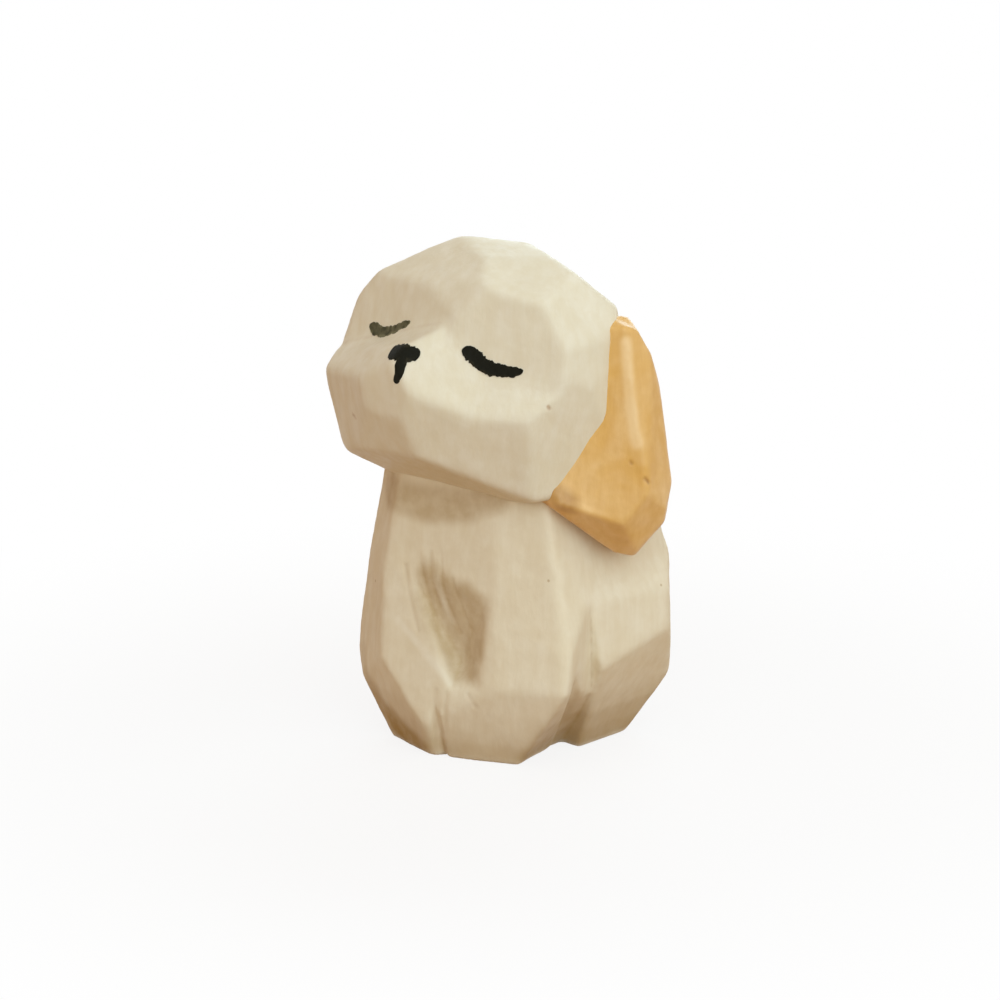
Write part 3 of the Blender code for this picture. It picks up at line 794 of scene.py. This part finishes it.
@dataclass
class Piece:
    """A visible piece that stands for one solid.

    Attributes:
        node: The solid's name.
        finish: What it is painted with.
    """

    node: str
    finish: PaintedWood | BrushPaint

    def stand_in(self, piece: bpy.types.Object) -> bpy.types.Object:
        """Let the finished piece ride in place of its solid.

        Args:
            piece: The finished piece.

        Returns:
            The same piece.
        """
        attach(piece, "root")
        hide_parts(self.node)
        LOG.info("%s: %d faces", piece.name, len(piece.data.polygons))
        return piece


@dataclass
class CarvedPiece(Piece):
    """One piece of carved wood, made from the solid that it stands for.

    Attributes:
        grain: Size of the mesh's squares.
        softness: How far the edges are rounded, in steps.
        pooling: How widely the paint fills inner corners, in steps.
        coat: Thickness of the paint.
        wobble: Depth and size of the hand's unevenness.
        ripple: Depth and size of the tool's ripples.
        gouge: Reach to each side and depth of the gouge marks.
        marks: Gouge marks, each a line of points.
        soil: Lines along which shade is painted into the colour.
        soil_reach: How far from these lines it is so.
        rubbed: Lines along which a highlight is painted pale into the colour.
        rubbed_reach: How far from these lines it is so.
        tuck: How far the corners that lie at the gap before the head move on into it.
        seed: Picks the piece's own pattern.
    """

    grain: float = 0.27
    softness: int = 8
    pooling: int = 40
    coat: float = 0.12
    wobble: tuple[float, float] = (0.16, 5.5)
    ripple: tuple[float, float] = (0.05, 1.4)
    gouge: tuple[float, float] = (0.5, 0.09)
    marks: Lines = ()
    soil: Lines = ()
    soil_reach: float = 2.0
    rubbed: Lines = ()
    rubbed_reach: float = 1.1
    tuck: Point = (0.0, 0.0, 0.0)
    seed: float = 0.0

    def build(self, carving: CarvingTree, kit: ShaderKit) -> bpy.types.Object:
        """Make the piece and let it ride in place of its solid.

        Args:
            carving: The carving rule.
            kit: The shared shader groups.

        Returns:
            The finished piece.
        """
        block = self.block()
        remesh = block.modifiers.new("even_squares", "REMESH")
        remesh.mode = "VOXEL"
        remesh.voxel_size = self.grain * MM
        # Besides the gouge marks, the drawn lines mark where shade and highlights are painted into the colour.
        drawn = {f"{kind} Lines": self.draw(kind, lines) for kind, lines in (
            ("Gouge", self.marks), ("Soil", self.soil), ("Rubbed", self.rubbed)) if lines}
        sizes = {
            "Coat": self.coat, "Wobble Depth": self.wobble[0], "Wobble Size": self.wobble[1],
            "Ripple Depth": self.ripple[0], "Ripple Size": self.ripple[1], "Gouge Reach": self.gouge[0],
            "Gouge Depth": self.gouge[1], "Soil Reach": self.soil_reach, "Rubbed Reach": self.rubbed_reach}
        run_tree(block, carving.sheet, {
            "Edge Softness": self.softness, "Crease Fill": self.pooling, "Seed": self.seed,
            "Body Solid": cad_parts["torso"], "Head Solid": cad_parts["head"],
            "Finish": self.finish.material(kit), **drawn, **{name: size * MM for name, size in sizes.items()}})
        piece = settle(block, f"{self.node}_carved")
        for lines in drawn.values():
            bpy.data.objects.remove(lines, do_unlink=True)
        return self.stand_in(piece)

    def block(self) -> bpy.types.Object:
        """Copy the solid's mesh with its corners welded.

        Returns:
            A new object with the welded copy.
        """
        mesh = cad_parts[self.node].data.copy()
        mesh.materials.clear()
        bm = bmesh.new()
        bm.from_mesh(mesh)
        bmesh.ops.remove_doubles(bm, verts=bm.verts[:], dist=WELD * MM)
        bmesh.ops.recalc_face_normals(bm, faces=bm.faces[:])
        if any(self.tuck):
            self.close_seam(bm)
        bm.to_mesh(mesh)
        bm.free()
        return add_object(f"{self.node}_block", mesh)

    def close_seam(self, bm: bmesh.types.BMesh) -> None:
        """Carry the corners at the gap before the head on into it, so that both read as one piece of wood.

        Args:
            bm: The block's mesh, which is changed.
        """
        head = bmesh.new()
        head.from_mesh(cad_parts["head"].data)
        near = BVHTree.FromBMesh(head)
        head.free()
        for corner in bm.verts:
            if near.find_nearest(corner.co, SEAM_REACH * MM)[0] is not None:
                corner.co += Vector(self.tuck) * MM

    def draw(self, kind: str, lines: Lines) -> bpy.types.Object:
        """Draw lines as loose edges.

        Args:
            kind: What the lines are.
            lines: The lines, each a row of points.

        Returns:
            The object with the lines.
        """
        points, edges = [], []
        for line in lines:
            first = len(points)
            points += [tuple(c * MM for c in point) for point in line]
            edges += [(first + i, first + i + 1) for i in range(len(line) - 1)]
        mesh = bpy.data.meshes.new(f"{self.node}_{kind}")
        mesh.from_pydata(points, edges, [])
        return add_object(mesh.name, mesh)


@dataclass
class BrushStroke(Piece):
    """One painted stroke on the face.

    Attributes:
        turn: Turn of the brush's axis.
        tilt: Tilt of the brush's axis.
        path: Stations of the stroke from the head's centre: across, up, and the stroke's width there.
        ragged: How uneven its border is.
        seed: Picks the border's own pattern.
        ragged_size: How close together the border's bumps are.
        film: Thickness of the paint.
        sink: How far its underside lies in the wood.
        reach: How far in front of the head's centre it is drawn before it is dropped on the head.
        steps: Points drawn between two stations.
    """

    turn: float
    tilt: float
    path: Sequence[Point]
    ragged: float
    seed: float
    ragged_size: float = 2.6
    film: float = 0.1
    sink: float = 0.03
    reach: float = 30.0
    steps: int = 24

    def build(self, brush: BrushTree, kit: ShaderKit, head: bpy.types.Object,
              centre: Vector) -> bpy.types.Object:
        """Make the stroke on the carved head.

        Args:
            brush: The brush rule.
            kit: The shared shader groups.
            head: The carved head that carries it.
            centre: The head's centre in metres.

        Returns:
            The finished stroke.
        """
        outward = direction(self.turn, self.tilt)
        line = self.line(outward, centre)
        run_tree(line, brush.sheet, {
            "Surface": head, "Axis": outward, "Sink": self.sink * MM, "Ragged": self.ragged,
            "Ragged Size": self.ragged_size, "Seed": self.seed, "Finish": self.finish.material(kit)})
        sheet = settle(line, f"{self.node}_film")
        solid = sheet.modifiers.new("film", "SOLIDIFY")
        solid.thickness = self.film * MM
        solid.offset = 1.0
        return self.stand_in(settle(sheet, f"{self.node}_painted"))

    def line(self, outward: Vector, centre: Vector) -> bpy.types.Object:
        """Draw the stroke's course in front of the face.

        Args:
            outward: The brush's axis.
            centre: The head's centre in metres.

        Returns:
            A curve object whose radius is half the stroke's width.
        """
        turn = math.radians(self.turn)
        right = Vector((math.cos(turn), math.sin(turn), 0.0))
        up = outward.cross(right)
        curve = bpy.data.curves.new(f"{self.node}_line", "CURVE")
        curve.dimensions = "3D"
        spline = curve.splines.new("BEZIER")
        spline.bezier_points.add(len(self.path) - 1)
        for point, (across, height, width) in zip(spline.bezier_points, self.path):
            point.co = centre + (right * across + up * height + outward * self.reach) * MM
            point.radius = width * 0.5 * MM
            point.handle_left_type = point.handle_right_type = "AUTO"
        spline.resolution_u = self.steps
        return add_object(curve.name, curve)


@dataclass
class Body:
    """Torso and tail.

    Attributes:
        hollow_marks: Gouge marks in the chest hollow and down the groove.
        soil: Lines down the hollow, under the jaw and along the right foot, where shade is painted into the
            colour.
        rubbed: Lines along the hollow's rim and down its middle, where a highlight is painted pale.
        tuck: How far the neck goes into the head.
    """

    hollow_marks: Lines = (
        ((-4.6, -11.4, 24.6), (-4.1, -11.1, 22.5), (-3.0, -10.7, 18.0), (-1.6, -10.7, 14.3)),
        ((-1.5, -10.8, 24.8), (-1.3, -10.7, 22.0), (-0.9, -10.3, 19.0), (0.8, -9.6, 15.0)),
        ((-3.0, -10.9, 24.2), (-2.8, -10.7, 21.5), (-2.0, -10.3, 18.0)),
        ((0.2, -10.6, 21.6), (1.2, -10.0, 19.0), (2.2, -9.6, 16.0)),
        ((-6.4, -11.4, 22.2), (-5.4, -11.6, 18.6), (-3.9, -11.9, 14.8)),
        ((-0.9, -12.2, 8.4), (-1.1, -12.3, 5.0), (-1.1, -12.0, 1.0)),
        ((0.7, -12.1, 8.4), (0.6, -12.3, 5.0), (0.4, -12.0, 1.5)),
        ((3.6, -11.6, 8.6), (4.6, -11.3, 7.3)),
    )
    # Painted shade: in the chest hollow, as the jaw's shadow on the neck, and on the down-facing right foot.
    soil: Lines = (
        ((-3.0, -10.9, 21.6), (-3.2, -10.4, 18.5), (-2.1, -10.2, 15.6), (-0.6, -9.8, 12.8),
         (1.3, -9.9, 10.5)),
        ((-0.9, -10.6, 20.7), (0.3, -10.2, 19.1), (0.9, -9.6, 16.0), (1.4, -9.2, 13.0), (2.8, -10.2, 11.2)),
        ((1.9, -10.2, 20.0), (3.4, -9.8, 19.0), (3.6, -9.6, 16.6), (3.6, -10.1, 13.7)),
        ((-10.0, -9.6, 30.8), (-3.8, -10.0, 30.2), (1.8, -9.2, 30.6), (5.2, -8.5, 31.8)),
        ((-9.6, -9.8, 29.8), (-3.8, -10.1, 29.4), (1.8, -9.2, 30.2)),
        ((-13.8, -8.6, 10.0), (-13.0, -9.4, 7.0), (-11.2, -10.0, 4.0), (-8.2, -10.6, 1.8),
         (-4.0, -11.6, 0.4)),
    )
    # Painted highlight along the hollow's rim and down its middle.
    rubbed: Lines = (
        ((-6.9, -12.2, 15.7), (-4.8, -12.1, 14.2), (-2.4, -12.0, 12.3), (0.7, -11.5, 9.5)),
        ((-2.1, -10.8, 21.8), (-1.5, -10.4, 19.0), (0.0, -10.0, 16.4)),
    )
    tuck: Point = (0.0, 0.0, 2.0)

    def build(self, carving: CarvingTree, kit: ShaderKit) -> list[bpy.types.Object]:
        """Make the pieces.

        Args:
            carving: The carving rule.
            kit: The shared shader groups.

        Returns:
            The finished pieces.
        """
        torso = CarvedPiece("torso", CREAM, softness=10, pooling=10, coat=0.14, marks=self.hollow_marks,
                            soil=self.soil, soil_reach=2.6, rubbed=self.rubbed, rubbed_reach=0.8,
                            tuck=self.tuck, seed=2.0)
        tail = CarvedPiece("tail", CREAM, pooling=8, seed=4.0)
        return [piece.build(carving, kit) for piece in (torso, tail)]


@dataclass
class Head:
    """Head, the two ears and the painted face.

    Attributes:
        centre: The head's centre, from which the strokes are placed.
        ear_tuck: How far the ears' roots go into the head.
        nicks: Small nicks in the muzzle and cheek.
        ear_nicks: Small nicks in the left ear.
        ear_highlight: The ridge down the left ear, where a highlight is painted pale.
        ear_soil: The left ear's lower front corner next to the head, where shade is painted into its colour.
    """

    centre: Point = (0.0, -4.73, 45.5)
    ear_tuck: float = 1.5
    nicks: Lines = (
        ((-9.8, -16.4, 40.7), (-9.1, -16.5, 40.4)), ((14.6, -10.2, 44.3), (14.7, -10.1, 44.1)))
    ear_nicks: Lines = (
        ((21.3, -1.2, 35.5), (21.7, -0.9, 35.0)), ((16.0, -5.5, 36.1), (16.4, -5.3, 36.0)),
        ((20.0, -2.3, 37.4), (20.1, -2.2, 37.2)))
    # Painted highlight down the ear's ridge.
    ear_highlight: Lines = (
        ((18.8, -1.7, 50.9), (19.1, -1.8, 47.8), (19.5, -1.8, 44.4), (20.1, -1.8, 41.0), (20.5, -1.7, 39.5)),)
    # Painted shade where the ear's lower front corner meets the head.
    ear_soil: Lines = (((12.8, -8.6, 34.6), (14.6, -6.8, 32.4)),)

    def build(self, carving: CarvingTree, brush: BrushTree, kit: ShaderKit) -> list[bpy.types.Object]:
        """Make the pieces.

        Args:
            carving: The carving rule.
            brush: The brush rule.
            kit: The shared shader groups.

        Returns:
            The finished pieces.
        """
        skull = CarvedPiece("head", CREAM_HEAD, softness=12, coat=0.15, gouge=(0.35, 0.1), marks=self.nicks,
                            seed=6.0).build(carving, kit)
        ears = [self.ear(side).build(carving, kit) for side in Side]
        place = Vector(self.centre) * MM
        face = [stroke.build(brush, kit, skull, place) for stroke in self.strokes()]
        return [skull, *ears, *face]

    def ear(self, side: Side) -> CarvedPiece:
        """Lay out one ear.

        Args:
            side: The side that it hangs on.

        Returns:
            The ear, closed against the head.
        """
        tuck = (-side.value * self.ear_tuck, 0.0, 0.0)
        # Each ear gets its nicks, its painted highlight on the ridge and its painted shade at the corner,
        # mirrored to its side.
        nicks, streak, soil = (tuple(tuple((side.value * x, y, z) for x, y, z in line) for line in lines)
                               for lines in (self.ear_nicks, self.ear_highlight, self.ear_soil))
        return CarvedPiece(f"ear_{side.name.lower()}", OCHRE, grain=0.2, coat=0.06, gouge=(0.4, 0.12),
                           marks=nicks, soil=soil, rubbed=streak, tuck=tuck, seed=8.0 + side.value)

    @staticmethod
    def strokes() -> list[BrushStroke]:
        """Lay out the painted face.

        Returns:
            The closed eyes, the nose and the mouth.
        """
        return [
            BrushStroke("eye_left", BLACK, 23, 6, (
                (0.8, 3.4, 1.4), (1.7, 3.0, 1.8), (2.9, 2.2, 1.8), (4.1, 1.6, 1.7), (5.6, 1.3, 1.4),
                (7.0, 1.3, 1.3), (8.1, 1.5, 0.8)), ragged=1.1, seed=1.0),
            BrushStroke("eye_right", OLIVE, -10, 10, (
                (-10.4, 3.1, 1.2), (-9.4, 2.8, 1.4), (-8.2, 2.7, 1.35), (-7.0, 2.8, 1.2), (-5.6, 3.3, 1.0),
                (-4.2, 4.0, 0.9), (-2.8, 4.7, 0.7)), ragged=1.2, seed=2.0),
            BrushStroke("nose", BLACK, 5, 12, (
                (-3.9, 1.0, 1.5), (-3.2, 1.1, 1.7), (-2.3, 1.2, 1.75), (-1.2, 1.25, 1.75), (-0.5, 1.2, 1.7),
                (0.1, 1.2, 1.5)), ragged=0.9, seed=3.0),
            BrushStroke("mouth", BLACK, 5, 0, (
                (-1.3, 3.7, 1.0), (-1.4, 2.8, 1.1), (-1.4, 1.8, 1.0), (-1.8, 0.7, 0.8)),
                ragged=0.4, seed=4.0),
        ]


@dataclass(frozen=True)
class Lamp:
    """One wide, soft lamp.

    Attributes:
        name: Its name.
        turn: Where it stands, from the front towards the dog's left.
        tilt: How high it stands.
        width: Angle that it fills, which sets how soft its shadows are.
        strength: Its strength.
        colour: Its colour, cooler than the room.
    """

    name: str
    turn: float
    tilt: float
    width: float
    strength: float = 1.28
    colour: tuple[float, float, float] = (0.63, 0.85, 0.97)

    def build(self) -> None:
        """Add the lamp to the scene."""
        data = bpy.data.lights.new(self.name, "SUN")
        data.energy = self.strength
        data.angle = math.radians(self.width)
        data.color = self.colour
        lamp = add_object(self.name, data)
        lamp.rotation_euler = direction(self.turn, self.tilt).to_track_quat("Z", "Y").to_euler()


@dataclass
class Studio:
    """Floor, light and camera.

    Attributes:
        azimuth: Turn of the camera from the dog's front.
        elevation: Height of the camera above level.
        distance: How far the camera is from its target.
        target: The point that the camera looks at.
        lens: Its focal length.
        sensor: Width of its sensor.
        sight: The nearest and farthest that it sees.
        lamps: The soft lamps: two low at the dog's left and in front, a weaker one overhead, one behind.
        room_turn: Turn of where the room's own light is brightest.
        room_tilt: Its tilt.
        room_fade: Cosines of the angle from there at which the light is dimmest and brightest.
        room_lit_side: Colour of the room's light from there.
        room_dim_side: Its colour from the other side.
        ground_colour: Colour of the table as it lights the dog from below.
        floor_colour: Colour of the table as it is seen.
        floor_width: Its width.
        floor_fade: Distances from the middle between which it fades to plain white.
        floor_white: Share of plain white close to the dog, where the rest takes the shadow.
    """

    azimuth: float = 42.0
    elevation: float = 14.5
    distance: float = 450.0
    target: Point = (-1.40, -0.49, 28.9)
    lens: float = 137.9
    sensor: float = 36.0
    sight: tuple[float, float] = (10.0, 20000.0)
    lamps: tuple[Lamp, ...] = (
        Lamp("side_lamp", 92.0, 10.0, 90.0), Lamp("front_lamp", 46.0, 18.0, 70.0),
        Lamp("top_lamp", 20.0, 72.0, 80.0, 0.4), Lamp("back_lamp", 205.0, 28.0, 50.0, 1.4))
    room_turn: float = 50.0
    room_tilt: float = 25.0
    room_fade: tuple[float, float] = (-0.35, 0.95)
    room_lit_side: Colour = (0.69, 0.55, 0.43, 1.0)
    room_dim_side: Colour = (0.32, 0.17, 0.08, 1.0)
    ground_colour: Colour = (0.46, 0.26, 0.10, 1.0)
    floor_colour: Colour = (0.9, 0.9, 0.9, 1.0)
    floor_width: float = 3000.0
    floor_fade: tuple[float, float] = (35.0, 110.0)
    floor_white: float = 0.84

    def build(self) -> None:
        """Set up everything that isn't part of the dog."""
        self.place_camera()
        self.light_room()
        self.lay_floor()
        bpy.context.scene.view_settings.view_transform = "Standard"

    def place_camera(self) -> None:
        """Put the camera where the photograph was taken from."""
        data = bpy.data.cameras.new("camera")
        data.lens = self.lens
        data.sensor_width = self.sensor
        data.sensor_fit = "HORIZONTAL"
        data.clip_start, data.clip_end = (reach * MM for reach in self.sight)
        camera = add_object("camera", data)
        away = direction(self.azimuth, self.elevation)
        camera.location = (Vector(self.target) + away * self.distance) * MM
        camera.rotation_euler = away.to_track_quat("Z", "Y").to_euler()
        bpy.context.scene.camera = camera

    def light_room(self) -> None:
        """Add the lamps and the room's own light, which is brighter from one side."""
        for lamp in self.lamps:
            lamp.build()
        world = bpy.data.worlds.new("room")
        bpy.context.scene.world = world
        sheet = clean_sheet(world)
        way = sheet.put("ShaderNodeTexCoord").outputs["Generated"]
        lit = sheet.vector("DOT_PRODUCT", way, direction(self.room_turn, self.room_tilt))
        colour = sheet.blend(sheet.ramp(lit, *self.room_fade), self.room_dim_side, self.room_lit_side)
        room = sheet.put("ShaderNodeBackground", {"Color": colour})
        white = sheet.put("ShaderNodeBackground", {"Color": WHITE})
        mix = sheet.put("ShaderNodeMixShader", {0: self.seen(sheet), 1: room.outputs[0], 2: white.outputs[0]})
        sheet.put("ShaderNodeOutputWorld", {"Surface": mix.outputs[0]})

    @staticmethod
    def seen(sheet: Sheet) -> Socket:
        """Find the rays that show the background: direct, mirrored and seen through glass.

        Args:
            sheet: The sheet to add to.

        Returns:
            The socket, 1 for such a ray.
        """
        path = sheet.put("ShaderNodeLightPath").outputs
        either = sheet.maths("MAXIMUM", path["Is Camera Ray"], path["Is Glossy Ray"])
        return sheet.maths("MAXIMUM", either, path["Is Transmission Ray"])

    def lay_floor(self) -> None:
        """Lay a pale floor that fades to white away from the dog and keeps its shadow."""
        half = self.floor_width * MM / 2
        mesh = bpy.data.meshes.new("floor")
        corners = [(-half, -half, 0), (half, -half, 0), (half, half, 0), (-half, half, 0)]
        mesh.from_pydata(corners, [], [(0, 1, 2, 3)])
        made = bpy.data.materials.new("pale_floor")
        sheet = clean_sheet(made)
        away = sheet.vector("LENGTH", sheet.put("ShaderNodeTexCoord").outputs["Object"])
        near, far = (reach * MM for reach in self.floor_fade)
        fade = sheet.ramp(away, near, far, self.floor_white, 1.0)
        ground, pale, white = (sheet.put(kind, {"Color": colour}).outputs[0] for kind, colour in (
            ("ShaderNodeBsdfDiffuse", self.ground_colour), ("ShaderNodeBsdfDiffuse", self.floor_colour),
            ("ShaderNodeEmission", WHITE)))
        shown = sheet.put("ShaderNodeMixShader", {0: fade, 1: pale, 2: white}).outputs[0]
        mix = sheet.put("ShaderNodeMixShader", {0: self.seen(sheet), 1: ground, 2: shown})
        sheet.put("ShaderNodeOutputMaterial", {"Surface": mix.outputs[0]})
        mesh.materials.append(made)
        floor = add_object("floor", mesh)


def main() -> None:
    """Build the dog and the studio in order."""
    logging.basicConfig(level=logging.INFO, format="%(name)s %(message)s")
    Studio().build()
    kit = ShaderKit()
    carving = CarvingTree()
    pieces = Body().build(carving, kit)
    pieces += Head().build(carving, BrushTree(), kit)
    LOG.info("%d pieces", len(pieces))


if __name__ == "__main__":
    main()
